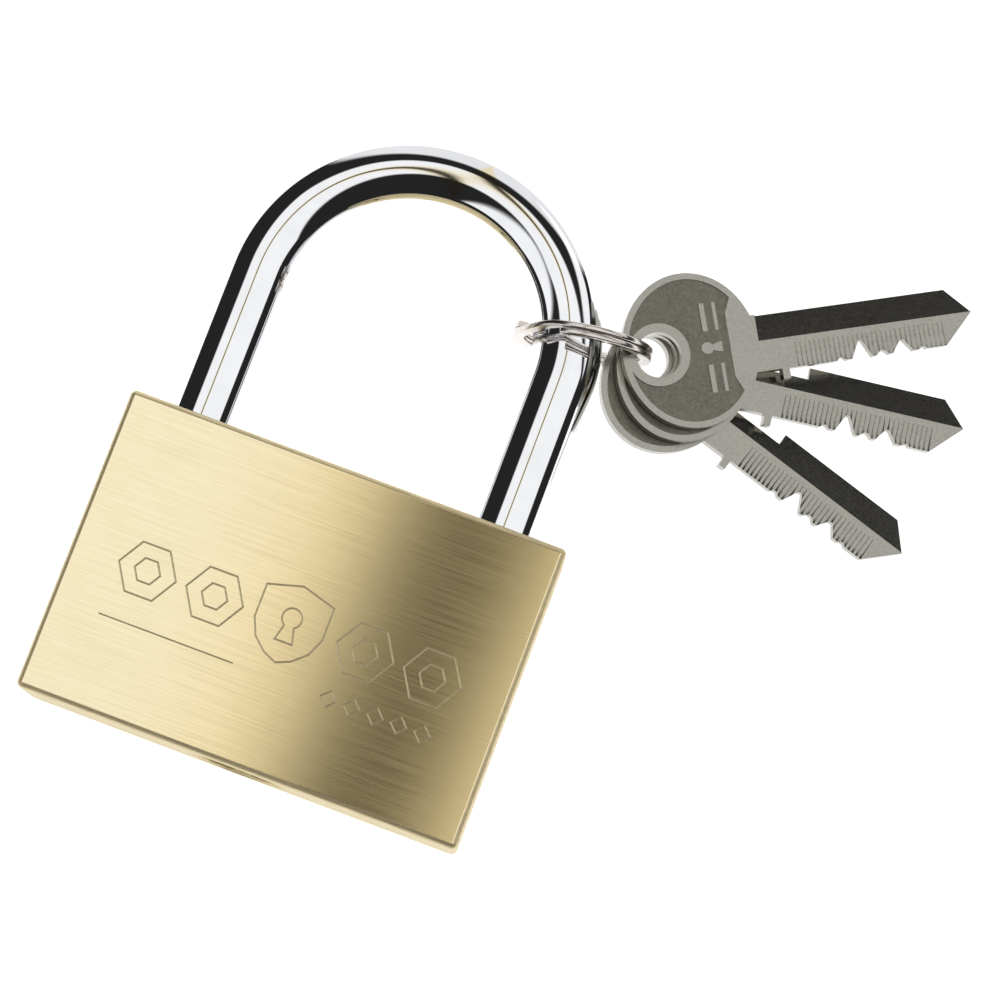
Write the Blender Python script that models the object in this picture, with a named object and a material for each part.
"""A 60 mm brass padlock with its shackle closed, three keys on a split ring round the shackle.

The padlock lies on its back. +Z points out of its front face, +Y from the keyway towards the
shackle's bow, and the origin is the centre of the back face. Lengths are in millimetres here,
and make_object turns them into metres. It is stored closed, with the plug turned to its open
position and the bolts drawn in, so the shackle is free to lift.
"""
import math

import bmesh
import bpy
from mathutils import Matrix, Vector

MM = 0.001

# Body
WIDTH = 60.0
HEIGHT = 41.1
THICKNESS = 16.2
EDGE_RADIUS = 0.8
TOP = HEIGHT / 2
BOTTOM = -HEIGHT / 2
SIDE = WIDTH / 2
MID_Z = THICKNESS / 2
FLUSH_GAP = 0.05
PAST = 1.0

# Shackle
LEG_X = 21.1
SHACKLE_RADIUS = 4.65
LEG_BORE_RADIUS = 4.95
ARC_RISE = 21.2
ARC_Y = TOP + ARC_RISE
TOE_END_Y = 7.0
TOE_BORE_END_Y = 5.6
HEEL_END_Y = -3.5
HEEL_BORE_END_Y = -8.4
END_CHAMFER = 0.6
LIFT = 14.5
SHACKLE_SIDES = 24
ARC_STEPS = 20

# Latch bolts, which slide along X and enter notches in both legs
LATCH_Y = 12.0
BOLT_RADIUS = 2.5
LATCH_BORE_RADIUS = 2.8
BOLT_TIP_X = 15.9
BOLT_SHOULDER_X = 8.0
BOLT_TONGUE_X = 3.4
BOLT_TRAVEL = 2.3
TONGUE_GAP = 0.15
NOTCH_DEPTH = 2.2
NOTCH_HALF_HEIGHT = 2.8
LATCH_PLUG_LENGTH = 3.0

# Pin that holds the heel leg in the body
SHACKLE_PIN_Y = 14.2
SHACKLE_PIN_RADIUS = 1.2
SHACKLE_PIN_REACH = 1.2
SLOT_DEPTH = 1.5
SLOT_CLEARANCE = 0.3
NECK_RADIUS = 3.2

# Plug and cam
PLUG_FACE_Y = BOTTOM + 0.8
PLUG_RADIUS = 6.2
PLUG_LENGTH = 26.0
PLUG_BORE_RADIUS = 6.3
PLUG_BORE_END_Y = 8.3
KEYWAY_SPINE = 3.9
KEYWAY_BITTING = 4.3
KEYWAY_THICK_SIDE = 1.2
KEYWAY_THIN_SIDE = 0.75
CAM_RADIUS = 5.9
CAM_THICKNESS = 1.6
CAM_GAP = 0.15
TANG_LENGTH = 9.0
TANG_WIDTH = 1.8
TANG_DEPTH = 1.3
TANG_CLEARANCE = 0.15
STUD_RADIUS = 0.55
STUD_OFFSET = BOLT_TRAVEL / math.sqrt(2)
STUD_TOP_Y = LATCH_Y - 0.2
STUD_CLEARANCE = 0.15
STUD_HOLE_RADIUS = 2.6
PLUG_PIN_Y = 2.6
PLUG_PIN_RADIUS = 0.9
PLUG_PIN_REACH = 0.7
PLUG_GROOVE_RADIUS = 5.2
PLUG_GROOVE_HALF_WIDTH = 1.2

# Pin tumblers, in a row along the plug
PIN_COUNT = 5
FIRST_PIN_DEPTH = 7.2
PIN_PITCH = 2.8
CUT_DEPTHS = (0.4, 2.3, 0.6, 1.6, 0.3)
PIN_RADIUS = 1.05
CHAMBER_RADIUS = 1.15
CHAMBER_PLUG_RADIUS = 1.1
KEY_PIN_TOP = 6.1
DRIVER_START = 6.4
DRIVER_LENGTH = 4.0
PIN_SPRING_LENGTH = 7.0
PIN_TIP_LENGTH = 0.5
PIN_GAP = 0.1

# Springs: coil radius, wire radius, turns
PIN_SPRING = (0.75, 0.17, 5)
LATCH_SPRING = (0.65, 0.15, 4)
SHACKLE_SPRING = (3.7, 0.4, 5)

# Keys. A key's own frame has its origin at its hole, +X to the tip and +Y to the spine.
KEY_THICKNESS = 2.0
BOW_CENTRE_X = 4.3
BOW_LONG_RADIUS = 9.1
BOW_WIDE_RADIUS = 10.3
BOW_STEPS = 40
KEY_HOLE_RADIUS = 3.0
BOSS_RADIUS = 4.2
PANEL_DEPTH = 0.3
PANEL_RIM = 0.85
PANEL_END_X = 9.6
PANEL_END_HALF = 4.2
PANEL_CORNER_X = 10.5
PANEL_STEPS = 12
SHOULDER_X = 17.0
SPINE_MILL_X = 13.5
TOOTH_LENGTH = 1.0
TOOTH_Y = -5.5
SPINE_Y = 3.5
BITTING_Y = -4.1
SPINE_NOTCH_Y = 1.9
SPINE_NOTCH_END_X = 21.0
TIP_X = 42.7
TIP_SPINE_X = 39.7
TIP_BITTING_X = 38.6
STEP_DEPTH = 0.45
SPINE_WEDGE = math.tan(math.radians(12.0))
CUT_FLAT = 0.5

# Split ring round the shackle, standing on its edge, and the stack of keys on its outer side
RING_OUTER_RADIUS = 9.3
RING_WIRE_WIDTH = 1.6
RING_WIRE_THICKNESS = 0.8
RING_COIL_GAP = 0.12
RING_CENTRE = (22.2, ARC_Y + 6.1, 9.35)
RING_YAW = math.radians(9.5)
RING_END_ANGLE = math.radians(25)
RING_STEPS = 72
RING_JOINT_ANGLE = math.radians(225)
KEY_HOLE_PAST_RING = 0.1
KEY_SPACING = 2.2
KEY_STACK_YAW = math.radians(8.8)
KEY_STACK_TILT = math.radians(7.0)
KEY_STACK_DROP = 0.7
KEY_FAN = (math.radians(21.0), 0.0, math.radians(-24.7))
KEY_SLIDE = (0.3, 0.0, -0.6)
KEY_HAS_SPINE_NOTCH = (False, True, True)

# Facets: sides of round shapes, and each spring's steps in a turn and sides of its wire
BORE_SIDES = 32
PLUG_SIDES = 64
PIN_SIDES = 12
SMALL_SPRING_FACETS = (8, 4)
LATCH_SPRING_FACETS = (10, 5)
LARGE_SPRING_FACETS = (16, 6)


# ---------------------------------------------------------------- materials and objects

def material(name, colour, roughness, metallic=1.0):
    """A plain Principled material."""
    made = bpy.data.materials.new(name)
    made.use_nodes = True
    shader = made.node_tree.nodes["Principled BSDF"]
    shader.inputs["Base Color"].default_value = (*colour, 1.0)
    shader.inputs["Roughness"].default_value = roughness
    shader.inputs["Metallic"].default_value = metallic
    return made


def make_object(name, bm, surface, place=None, parent=None):
    """Turn a bmesh in millimetres into an object in metres."""
    bmesh.ops.recalc_face_normals(bm, faces=bm.faces)
    bmesh.ops.scale(bm, vec=(MM, MM, MM), verts=bm.verts)
    mesh = bpy.data.meshes.new(name)
    bm.to_mesh(mesh)
    bm.free()
    mesh.shade_smooth()
    mesh.set_sharp_from_angle(angle=math.radians(35))
    made = bpy.data.objects.new(name, mesh)
    bpy.context.scene.collection.objects.link(made)
    if surface:
        mesh.materials.append(surface)
    made.parent = parent
    if place:
        made.matrix_basis = in_metres(place)
    return made


def in_metres(place):
    """The same placement with its translation in metres."""
    return Matrix.Translation(place.translation * MM) @ place.to_3x3().to_4x4()


def empty(name, place, parent=None):
    """An empty that marks where a joint or a piece sits, and how it is turned."""
    made = bpy.data.objects.new(name, None)
    bpy.context.scene.collection.objects.link(made)
    made.parent = parent
    made.matrix_basis = in_metres(place)
    return made


def cut(target, bm, name, place=None):
    """Cut a bmesh out of an object, in the target's own frame."""
    cutter = make_object(name, bm, None, place, target.parent)
    cutter.matrix_basis = target.matrix_basis @ cutter.matrix_basis
    cutter.hide_render = True
    cutter.display_type = "WIRE"
    modifier = target.modifiers.new(name, "BOOLEAN")
    modifier.operation = "DIFFERENCE"
    modifier.solver = "EXACT"
    modifier.object = cutter


# ---------------------------------------------------------------- shapes

def box(low, high):
    """A block between two corners."""
    bm = bmesh.new()
    size = Vector(high) - Vector(low)
    middle = (Vector(high) + Vector(low)) / 2
    place = Matrix.Translation(middle) @ Matrix.Diagonal((*size, 1.0))
    bmesh.ops.create_cube(bm, size=1.0, matrix=place)
    return bm


def rod(start, end, radius, sides=PIN_SIDES):
    """A round bar from start to end."""
    bm = bmesh.new()
    start = Vector(start)
    along = Vector(end) - start
    turn = along.to_track_quat("Z", "Y").to_matrix().to_4x4()
    bmesh.ops.create_cone(bm, cap_ends=True, segments=sides, radius1=radius, radius2=radius,
                          depth=along.length,
                          matrix=Matrix.Translation(start + along / 2) @ turn)
    return bm


def skin(rings, closed=False):
    """Join rings of points into a tube with flat ends, or into a closed loop."""
    bm = bmesh.new()
    rows = [[bm.verts.new(point) for point in ring] for ring in rings]
    pairs = list(zip(rows, rows[1:]))
    if closed:
        pairs.append((rows[-1], rows[0]))
    for near, far in pairs:
        for i in range(len(near)):
            j = (i + 1) % len(near)
            bm.faces.new((near[i], near[j], far[j], far[i]))
    if not closed:
        bm.faces.new(rows[0])
        bm.faces.new(reversed(rows[-1]))
    return bm


def circle(centre, u, v, radius, sides):
    """Points of a circle round centre in the plane of u and v."""
    turns = [2 * math.pi * i / sides for i in range(sides)]
    return [centre + radius * (math.cos(a) * u + math.sin(a) * v) for a in turns]


def turned(profile, sides):
    """A solid turned about Z from (radius, height) pairs, lowest first."""
    x_axis, y_axis = Vector((1, 0, 0)), Vector((0, 1, 0))
    return skin([circle(Vector((0, 0, h)), x_axis, y_axis, r, sides) for r, h in profile])


def spring(sizes, length, facets):
    """A compression spring of round wire along +Z from 0 to length."""
    coil_radius, wire_radius, turns = sizes
    steps, sides = facets
    up = Vector((0, 0, 1))
    count = turns * steps
    rings = []
    for i in range(count + 1):
        share = i / count
        angle = 2 * math.pi * turns * share
        out = Vector((math.cos(angle), math.sin(angle), 0))
        height = wire_radius + share * (length - 2 * wire_radius)
        rings.append(circle(out * coil_radius + up * height, out, up, wire_radius, sides))
    return skin(rings)


def prism(outline, low, high):
    """An outline in X and Y, extruded from low to high in Z."""
    return skin([[Vector((x, y, z)) for x, y in outline] for z in (low, high)])


# ---------------------------------------------------------------- body

def make_body(brass):
    """The solid brass block, drilled for the shackle, plug, bolts and pins."""
    low = (-SIDE, BOTTOM, 0)
    body = make_object("body", box(low, (SIDE, TOP, THICKNESS)), brass)
    bevel = body.modifiers.new("edges", "BEVEL")
    bevel.width = EDGE_RADIUS * MM
    bevel.segments = 2
    bevel.limit_method = "ANGLE"
    for side, end in ((-1, TOE_BORE_END_Y), (1, HEEL_BORE_END_Y)):
        hole = rod((side * LEG_X, end, MID_Z), (side * LEG_X, TOP + PAST, MID_Z),
                   LEG_BORE_RADIUS, BORE_SIDES)
        cut(body, hole, "leg_bore")
    cut(body, rod((0, BOTTOM - PAST, MID_Z), (0, PLUG_BORE_END_Y, MID_Z),
                  PLUG_BORE_RADIUS, PLUG_SIDES), "plug_bore")
    cut(body, rod((0, PLUG_BORE_END_Y - PAST, MID_Z), (0, LATCH_Y, MID_Z),
                  STUD_HOLE_RADIUS, BORE_SIDES), "stud_hole")
    cut(body, rod((-SIDE - PAST, LATCH_Y, MID_Z), (LEG_X - LEG_BORE_RADIUS + PAST, LATCH_Y, MID_Z),
                  LATCH_BORE_RADIUS, BORE_SIDES), "latch_bore")
    for i in range(PIN_COUNT):
        y = pin_y(i)
        cut(body, rod((-SIDE - PAST, y, MID_Z), (-PLUG_BORE_RADIUS + PAST, y, MID_Z),
                      CHAMBER_RADIUS), "chamber")
    cut(body, rod((LEG_X, SHACKLE_PIN_Y, MID_Z), (SIDE + PAST, SHACKLE_PIN_Y, MID_Z),
                  SHACKLE_PIN_RADIUS + PIN_GAP), "shackle_pin_hole")
    cut(body, rod((0, PLUG_PIN_Y, -PAST), (0, PLUG_PIN_Y, MID_Z - PLUG_RADIUS + PAST),
                  PLUG_PIN_RADIUS + PIN_GAP), "plug_pin_hole")


def pin_y(i):
    """Height of pin chamber i along the body."""
    return PLUG_FACE_Y + FIRST_PIN_DEPTH + i * PIN_PITCH


# ---------------------------------------------------------------- shackle

def make_shackle(chrome, parent):
    """The bent bar, with a notch in each leg and a pin slot and neck in the heel leg."""
    z_axis = Vector((0, 0, 1))
    bottom_rows = ((0, -END_CHAMFER), (END_CHAMFER, 0))
    rings = []
    for rise, grow in bottom_rows:
        rings.append(leg_ring(-1, TOE_END_Y + rise, SHACKLE_RADIUS + grow))
    for i in range(ARC_STEPS + 1):
        angle = math.pi * (1 - i / ARC_STEPS)
        out = Vector((math.cos(angle), math.sin(angle), 0))
        centre = Vector((0, ARC_Y, MID_Z)) + out * LEG_X
        rings.append(circle(centre, out, z_axis, SHACKLE_RADIUS, SHACKLE_SIDES))
    for rise, grow in reversed(bottom_rows):
        rings.append(leg_ring(1, HEEL_END_Y + rise, SHACKLE_RADIUS + grow))
    shackle = make_object("shackle", skin(rings), chrome, Matrix.Identity(4), parent)
    reach = 2 * SHACKLE_RADIUS
    inner = LEG_X - SHACKLE_RADIUS + NOTCH_DEPTH
    low_y, high_y = LATCH_Y - NOTCH_HALF_HEIGHT, LATCH_Y + NOTCH_HALF_HEIGHT
    cut(shackle, box((-inner, low_y, MID_Z - reach), (-inner + reach, high_y, MID_Z + reach)),
        "toe_notch")
    cut(shackle, box((inner - reach, low_y, MID_Z - reach), (inner, high_y, MID_Z + reach)),
        "heel_notch")
    half = SHACKLE_PIN_RADIUS + SLOT_CLEARANCE
    slot_x = LEG_X + SHACKLE_RADIUS - SLOT_DEPTH
    neck_y = SHACKLE_PIN_Y - LIFT
    cut(shackle, box((slot_x, neck_y, MID_Z - half), (slot_x + reach, SHACKLE_PIN_Y + half,
                                                      MID_Z + half)), "pin_slot")
    cut(shackle, neck_cutter(neck_y, half), "neck")


def leg_ring(side, y, radius):
    """A cross-section of one leg, in step with the arc's rings."""
    out = Vector((side, 0, 0))
    return circle(Vector((side * LEG_X, y, MID_Z)), out, Vector((0, 0, 1)), radius,
                  SHACKLE_SIDES)


def neck_cutter(y, half):
    """A ring that leaves a thin neck on the heel leg."""
    centre = Vector((LEG_X, y, MID_Z))
    rings = []
    for i in range(SHACKLE_SIDES):
        angle = 2 * math.pi * i / SHACKLE_SIDES
        out = Vector((math.cos(angle), 0, math.sin(angle)))
        corners = ((NECK_RADIUS, -half), (2 * SHACKLE_RADIUS, -half),
                   (2 * SHACKLE_RADIUS, half), (NECK_RADIUS, half))
        rings.append([centre + out * r + Vector((0, rise, 0)) for r, rise in corners])
    return skin(rings, closed=True)


# ---------------------------------------------------------------- plug, cam and bolts

def make_plug(brass, parent):
    """The plug, in a frame whose +Z runs up it from its face and +Y is its bitting side."""
    groove = PLUG_PIN_Y - PLUG_FACE_Y
    profile = (
        (PLUG_RADIUS, 0), (PLUG_RADIUS, groove - PLUG_GROOVE_HALF_WIDTH),
        (PLUG_GROOVE_RADIUS, groove - PLUG_GROOVE_HALF_WIDTH),
        (PLUG_GROOVE_RADIUS, groove + PLUG_GROOVE_HALF_WIDTH),
        (PLUG_RADIUS, groove + PLUG_GROOVE_HALF_WIDTH), (PLUG_RADIUS, PLUG_LENGTH))
    plug = make_object("plug", turned(profile, PLUG_SIDES), brass, Matrix.Identity(4), parent)
    cut(plug, prism(keyway_outline(), -PAST, PLUG_LENGTH + PAST), "keyway")
    half_length = TANG_LENGTH / 2 + TANG_CLEARANCE
    half_width = TANG_WIDTH / 2 + TANG_CLEARANCE
    bottom = PLUG_LENGTH - TANG_DEPTH - TANG_CLEARANCE
    cut(plug, box((-half_length, -half_width, bottom),
                  (half_length, half_width, PLUG_LENGTH + PAST)), "tang_slot")
    for i in range(PIN_COUNT):
        height = FIRST_PIN_DEPTH + i * PIN_PITCH
        cut(plug, rod((0, 0, height), (0, PLUG_RADIUS + PAST, height), CHAMBER_RADIUS),
            "pin_hole")


def keyway_outline():
    """A slot with a step at its middle, so a key fits one way round."""
    thick, thin = KEYWAY_THICK_SIDE, KEYWAY_THIN_SIDE
    return ((-thin, 0), (-thin, KEYWAY_BITTING), (thick, KEYWAY_BITTING), (thick, 0),
            (thin, 0), (thin, -KEYWAY_SPINE), (-thick, -KEYWAY_SPINE), (-thick, 0))


def make_cam(steel, parent):
    """The disc on the plug's end, with a tang below and two studs that draw the bolts."""
    low = PLUG_LENGTH + CAM_GAP
    high = low + CAM_THICKNESS
    bm = turned(((CAM_RADIUS, low), (CAM_RADIUS, high)), BORE_SIDES)
    cam = make_object("cam", bm, steel, Matrix.Identity(4), parent)
    half = TANG_LENGTH / 2
    sunk = 0.5
    tang = box((-half, -TANG_WIDTH / 2, PLUG_LENGTH - TANG_DEPTH), (half, TANG_WIDTH / 2, low + sunk))
    join(cam, tang, "tang")
    top = STUD_TOP_Y - PLUG_FACE_Y
    reach = STUD_OFFSET / math.sqrt(2)
    for side in (-1, 1):
        stud = rod((side * reach, side * reach, high - sunk), (side * reach, side * reach, top),
                   STUD_RADIUS)
        join(cam, stud, "stud")


def join(target, bm, name):
    """Add a bmesh to an object, in the target's own frame."""
    cut(target, bm, name)
    target.modifiers[-1].operation = "UNION"


def make_bolts(steel):
    """The two latch bolts. Each ends in a half-round tongue that a cam stud draws inwards."""
    for name, turn in (("toe_bolt", 0.0), ("heel_bolt", math.pi)):
        place = Matrix.Translation((0, LATCH_Y, MID_Z)) @ Matrix.Rotation(turn, 4, "Y")
        bm = rod((-BOLT_TIP_X, 0, 0), (BOLT_TONGUE_X, 0, 0), BOLT_RADIUS, BORE_SIDES)
        bolt = make_object(name, bm, steel, place)
        reach = 2 * BOLT_RADIUS
        cut(bolt, box((-BOLT_SHOULDER_X, -reach, -TONGUE_GAP), (reach, reach, reach)), "step")
        stud_x = STUD_OFFSET / math.sqrt(2)
        half = STUD_RADIUS + STUD_CLEARANCE
        cut(bolt, box((stud_x - half - BOLT_TRAVEL, -reach, -reach),
                      (stud_x + half, STUD_CLEARANCE, reach)), "stud_slot")


def make_springs(steel):
    """The latch spring between the bolts, and the shackle spring under the heel leg."""
    gap = PIN_GAP
    lift = (BOLT_RADIUS + TONGUE_GAP) / 2
    length = BOLT_SHOULDER_X - BOLT_TONGUE_X - 2 * gap
    place = (Matrix.Translation((-BOLT_SHOULDER_X + gap, LATCH_Y, MID_Z + lift))
             @ Matrix.Rotation(math.pi / 2, 4, "Y"))
    make_object("latch_spring", spring(LATCH_SPRING, length, LATCH_SPRING_FACETS), steel, place)
    length = HEEL_END_Y - HEEL_BORE_END_Y - 2 * gap
    place = (Matrix.Translation((LEG_X, HEEL_BORE_END_Y + gap, MID_Z))
             @ Matrix.Rotation(-math.pi / 2, 4, "X"))
    make_object("shackle_spring", spring(SHACKLE_SPRING, length, LARGE_SPRING_FACETS), steel,
                place)


# ---------------------------------------------------------------- pins

def make_tumblers(brass, steel, plug_parent):
    """Key pins in the plug, and a driver pin, spring and chamber plug for each in the body."""
    for i in range(PIN_COUNT):
        number = i + 1
        height = FIRST_PIN_DEPTH + i * PIN_PITCH
        inner = -BITTING_Y - CUT_DEPTHS[i] + PIN_GAP
        make_object(f"key_pin_{number}", pointed_pin(height, inner), brass,
                    Matrix.Identity(4), plug_parent)
        y = pin_y(i)
        driver_end = DRIVER_START + DRIVER_LENGTH
        make_object(f"driver_pin_{number}",
                    rod((-DRIVER_START, y, MID_Z), (-driver_end, y, MID_Z), PIN_RADIUS), brass)
        spring_start = driver_end + PIN_GAP
        place = (Matrix.Translation((-spring_start, y, MID_Z))
                 @ Matrix.Rotation(-math.pi / 2, 4, "Y"))
        make_object(f"pin_spring_{number}",
                    spring(PIN_SPRING, PIN_SPRING_LENGTH, SMALL_SPRING_FACETS), steel, place)
        plug_start = spring_start + PIN_SPRING_LENGTH + PIN_GAP
        make_object(f"chamber_plug_{number}",
                    rod((-plug_start, y, MID_Z), (-SIDE + FLUSH_GAP, y, MID_Z),
                        CHAMBER_PLUG_RADIUS), brass)


def pointed_pin(height, inner):
    """A key pin with a coned inner end, along the plug's +Y."""
    y_axis = Vector((0, 1, 0))
    rows = ((inner, PIN_RADIUS / 2), (inner + PIN_TIP_LENGTH, PIN_RADIUS),
            (KEY_PIN_TOP, PIN_RADIUS))
    x_axis, z_axis = Vector((1, 0, 0)), Vector((0, 0, 1))
    return skin([circle(Vector((0, 0, height)) + y_axis * at, x_axis, z_axis, radius, PIN_SIDES)
                 for at, radius in rows])


def make_fixed_pins(brass, steel):
    """The pins driven in to hold the heel leg and the plug, and the latch bore's plug."""
    tip = LEG_X + SHACKLE_RADIUS - SHACKLE_PIN_REACH
    make_object("shackle_pin", rod((tip, SHACKLE_PIN_Y, MID_Z),
                                   (SIDE - FLUSH_GAP, SHACKLE_PIN_Y, MID_Z),
                                   SHACKLE_PIN_RADIUS), steel)
    tip = MID_Z - PLUG_RADIUS + PLUG_PIN_REACH
    make_object("plug_pin", rod((0, PLUG_PIN_Y, FLUSH_GAP), (0, PLUG_PIN_Y, tip),
                                PLUG_PIN_RADIUS), steel)
    start = -SIDE + FLUSH_GAP
    make_object("latch_bore_plug", rod((start, LATCH_Y, MID_Z),
                                       (start + LATCH_PLUG_LENGTH, LATCH_Y, MID_Z),
                                       LATCH_BORE_RADIUS - FLUSH_GAP, BORE_SIDES), brass)


# ---------------------------------------------------------------- ring and keys

def make_ring(nickel, parent):
    """Two coils of flat wire, joined by a jog, about the parent's Z."""
    middle = RING_OUTER_RADIUS - RING_WIRE_WIDTH / 2
    half_width = RING_WIRE_WIDTH / 2
    half_thick = RING_WIRE_THICKNESS / 2
    offset = (RING_WIRE_THICKNESS + RING_COIL_GAP) / 2
    first, last = RING_END_ANGLE, 4 * math.pi - RING_END_ANGLE
    rings = []
    for i in range(RING_STEPS + 1):
        angle = first + (last - first) * i / RING_STEPS
        jog = (angle - 2 * math.pi) / RING_END_ANGLE
        share = min(1.0, max(-1.0, jog))
        height = offset * math.sin(share * math.pi / 2)
        out = Vector((math.cos(angle + RING_JOINT_ANGLE), math.sin(angle + RING_JOINT_ANGLE), 0))
        corners = ((-half_width, -half_thick), (half_width, -half_thick),
                   (half_width, half_thick), (-half_width, half_thick))
        rings.append([out * (middle + across) + Vector((0, 0, height + up))
                      for across, up in corners])
    make_object("split_ring", skin(rings), nickel, Matrix.Identity(4), parent)


def key_outline(spine_notch):
    """The key's silhouette, anticlockwise from the top of the neck."""
    def bow_angle(y):
        return math.asin(y / BOW_WIDE_RADIUS)

    start = bow_angle(SPINE_NOTCH_Y if spine_notch else SPINE_Y)
    end = 2 * math.pi + bow_angle(BITTING_Y)
    points = []
    for i in range(BOW_STEPS + 1):
        angle = start + (end - start) * i / BOW_STEPS
        points.append((BOW_CENTRE_X + BOW_LONG_RADIUS * math.cos(angle),
                       BOW_WIDE_RADIUS * math.sin(angle)))
    points += [(SHOULDER_X - TOOTH_LENGTH, BITTING_Y), (SHOULDER_X - TOOTH_LENGTH, TOOTH_Y),
               (SHOULDER_X, TOOTH_Y), (SHOULDER_X, BITTING_Y)]
    for i, depth in enumerate(CUT_DEPTHS):
        x = SHOULDER_X + FIRST_PIN_DEPTH + i * PIN_PITCH
        slope = min(depth, (PIN_PITCH - CUT_FLAT) / 2)
        points += [(x - CUT_FLAT / 2 - slope, BITTING_Y), (x - CUT_FLAT / 2, BITTING_Y + depth),
                   (x + CUT_FLAT / 2, BITTING_Y + depth), (x + CUT_FLAT / 2 + slope, BITTING_Y)]
    points += [(TIP_BITTING_X, BITTING_Y), (TIP_X, 0), (TIP_SPINE_X, SPINE_Y)]
    if spine_notch:
        points += [(SPINE_NOTCH_END_X, SPINE_Y), (SPINE_NOTCH_END_X, SPINE_NOTCH_Y)]
    return points


def make_key(number, place, nickel, parent):
    """A flat key with an oval bow, sunk panels, and a blade milled along both edges."""
    half = KEY_THICKNESS / 2
    outline = key_outline(KEY_HAS_SPINE_NOTCH[number - 1])
    key = make_object(f"key_{number}", prism(outline, -half, half), nickel, place, parent)
    cut(key, rod((0, 0, -half - PAST), (0, 0, half + PAST), KEY_HOLE_RADIUS, BORE_SIDES),
        "key_hole")
    cut(key, spine_wedge(half), "spine_side_wedge")
    cut(key, box((SHOULDER_X, 2 * BITTING_Y, -half - PAST), (TIP_X + PAST, 0, -half + STEP_DEPTH)),
        "bitting_side_step")
    for side in (-1, 1):
        low, high = sorted((side * (half - PANEL_DEPTH), side * (half + PAST)))
        cut(key, prism(panel_outline(), low, high), "panel")


def spine_wedge(half):
    """The cutter for the spine half of the front: a step, then a slope down to the spine."""
    reach = SPINE_Y + PAST
    start = half - STEP_DEPTH
    section = ((0, start), (reach, start - reach * SPINE_WEDGE), (reach, half + PAST),
               (0, half + PAST))
    return skin([[Vector((x, y, z)) for y, z in section] for x in (SPINE_MILL_X, TIP_X + PAST)])


def panel_outline():
    """The bow's sunk panel: an oval inside the rim, open round the boss and cut off straight."""
    long_radius = BOW_LONG_RADIUS - PANEL_RIM
    wide_radius = BOW_WIDE_RADIUS - PANEL_RIM
    far = math.acos((PANEL_CORNER_X - BOW_CENTRE_X) / long_radius)
    near = boss_meeting(long_radius, wide_radius)
    upper = []
    for i in range(PANEL_STEPS + 1):
        angle = far + (near - far) * i / PANEL_STEPS
        upper.append((BOW_CENTRE_X + long_radius * math.cos(angle), wide_radius * math.sin(angle)))
    turn = math.atan2(upper[-1][1], upper[-1][0])
    for i in range(1, PANEL_STEPS):
        angle = turn * (1 - i / PANEL_STEPS)
        upper.append((BOSS_RADIUS * math.cos(angle), BOSS_RADIUS * math.sin(angle)))
    lower = [(x, -y) for x, y in reversed(upper)]
    return (upper + [(BOSS_RADIUS, 0)] + lower
            + [(PANEL_END_X, -PANEL_END_HALF), (PANEL_END_X, PANEL_END_HALF)])


def boss_meeting(long_radius, wide_radius):
    """The angle at which an oval round the bow's centre meets the boss's circle."""
    a = long_radius ** 2 - wide_radius ** 2
    b = 2 * BOW_CENTRE_X * long_radius
    c = BOW_CENTRE_X ** 2 + wide_radius ** 2 - BOSS_RADIUS ** 2
    return math.acos((-b + math.sqrt(b * b - 4 * a * c)) / (2 * a))


def make_ring_and_keys(nickel, shackle_parent):
    """The ring on the shackle's bow, and the keys fanned out on it."""
    centre = Vector(RING_CENTRE)
    along = Matrix.Rotation(RING_YAW, 4, "Z") @ Matrix.Rotation(-math.pi / 2, 4, "X")
    ring_parent = empty("ring_axis", Matrix.Translation(centre) @ along, shackle_parent)
    make_ring(nickel, ring_parent)
    reach = RING_OUTER_RADIUS + KEY_HOLE_PAST_RING
    stack = (Matrix.Translation(centre)
             @ Matrix.Translation((reach * math.cos(RING_YAW), reach * math.sin(RING_YAW),
                                   -KEY_STACK_DROP))
             @ Matrix.Rotation(KEY_STACK_YAW, 4, "Z") @ Matrix.Rotation(KEY_STACK_TILT, 4, "Y"))
    for i, fan in enumerate(KEY_FAN):
        place = (stack @ Matrix.Translation((KEY_SLIDE[i], 0, (1 - i) * KEY_SPACING))
                 @ Matrix.Rotation(fan, 4, "Z"))
        key_parent = empty(f"key_{i + 1}_axis", in_parent(ring_parent, place), ring_parent)
        make_key(i + 1, Matrix.Identity(4), nickel, key_parent)


def in_parent(parent, place):
    """A placement in the model's frame, as seen from an empty placed in that frame."""
    origin = Matrix.Translation(parent.matrix_basis.translation / MM)
    turn = parent.matrix_basis.to_3x3().to_4x4()
    return (origin @ turn).inverted() @ place


# ---------------------------------------------------------------- assembly

def main():
    for old in list(bpy.data.objects):
        bpy.data.objects.remove(old, do_unlink=True)
    brass = material("brass", (0.62, 0.49, 0.27), 0.35)
    chrome = material("chrome", (0.80, 0.80, 0.81), 0.06)
    nickel = material("nickel", (0.56, 0.55, 0.51), 0.25)
    steel = material("steel", (0.45, 0.45, 0.46), 0.35)

    make_body(brass)
    shackle_parent = empty("shackle_axis", Matrix.Identity(4))
    make_shackle(chrome, shackle_parent)
    plug_parent = empty("plug_axis", Matrix.Translation((0, PLUG_FACE_Y, MID_Z))
                        @ Matrix.Rotation(-math.pi / 2, 4, "X"))
    make_plug(brass, plug_parent)
    make_cam(steel, plug_parent)
    make_bolts(steel)
    make_springs(steel)
    make_tumblers(brass, steel, plug_parent)
    make_fixed_pins(brass, steel)
    make_ring_and_keys(nickel, shackle_parent)


main()
